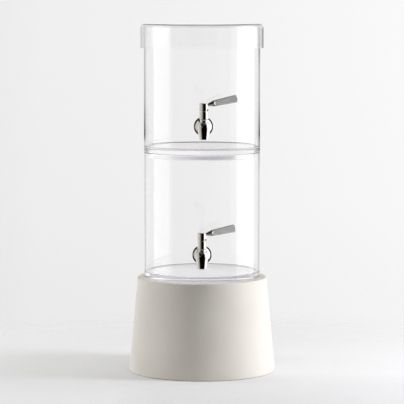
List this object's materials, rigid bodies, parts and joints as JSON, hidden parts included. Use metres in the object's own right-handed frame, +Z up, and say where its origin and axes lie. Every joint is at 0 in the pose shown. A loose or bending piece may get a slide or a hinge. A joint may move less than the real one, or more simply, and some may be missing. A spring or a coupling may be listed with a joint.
{
  "type": "beverage dispenser",
  "caption": "Stacked clear glass drinks dispenser: straight cylinder vessels with quarter-turn steel taps, a glass cap lid and a cream glazed conical ceramic stand.",
  "frame": {"origin": "on the table under the stand's axis", "axes": "+Z up along the vessels' axis, the taps face -Y, a closed lever points to +X"},
  "size_m": [0.2716, 0.2889, 0.6446],
  "materials": {
    "clear_glass": "polished",
    "lid_glass": "polished",
    "cream_glaze": "satin",
    "polished_steel": "polished",
    "satin_steel": "satin",
    "plain_steel": "satin",
    "dark_steel": "satin",
    "silicone": "matte",
    "black_rubber": "matte"
  },
  "bodies": {
    "stand": {"stand": "cream_glaze"},
    "lower_tier": {"lower_vessel": "clear_glass", "lower_tap_body": "polished_steel", "lower_stop_screw": "dark_steel", "lower_tap_flange": "polished_steel", "lower_outer_gasket": "silicone", "lower_inner_gasket": "silicone", "lower_inner_washer": "plain_steel", "lower_lock_nut": "plain_steel"},
    "lower_lever": {"lower_valve_plug": "plain_steel", "lower_plug_seals": "black_rubber", "lower_lever_hub": "polished_steel", "lower_hub_screw": "dark_steel", "lower_lever_handle": "satin_steel"},
    "upper_tier": {"upper_vessel": "clear_glass", "upper_tap_body": "polished_steel", "upper_stop_screw": "dark_steel", "upper_tap_flange": "polished_steel", "upper_outer_gasket": "silicone", "upper_inner_gasket": "silicone", "upper_inner_washer": "plain_steel", "upper_lock_nut": "plain_steel"},
    "upper_lever": {"upper_valve_plug": "plain_steel", "upper_plug_seals": "black_rubber", "upper_lever_hub": "polished_steel", "upper_hub_screw": "dark_steel", "upper_lever_handle": "satin_steel"},
    "lid": {"lid": "lid_glass"}
  },
  "joints": [
    {"name": "lower_tier_lift", "type": "slide", "parent": "stand", "child": "lower_tier", "axis": [0, 0, 1], "range_m": [0, 0.12]},
    {"name": "upper_tier_lift", "type": "slide", "parent": "lower_tier", "child": "upper_tier", "axis": [0, 0, 1], "range_m": [0, 0.12]},
    {"name": "lid_lift", "type": "slide", "parent": "upper_tier", "child": "lid", "axis": [0, 0, 1], "range_m": [0, 0.12]},
    {"name": "lower_lever_turn", "type": "hinge", "parent": "lower_tier", "child": "lower_lever", "pos_m": [0, -0.1415, 0.2566], "axis": [0, 0, -1], "range_deg": [0, 90]},
    {"name": "upper_lever_turn", "type": "hinge", "parent": "upper_tier", "child": "upper_lever", "pos_m": [0.00346, -0.14146, 0.4896], "axis": [0, 0, -1], "range_deg": [0, 90]}
  ]
}
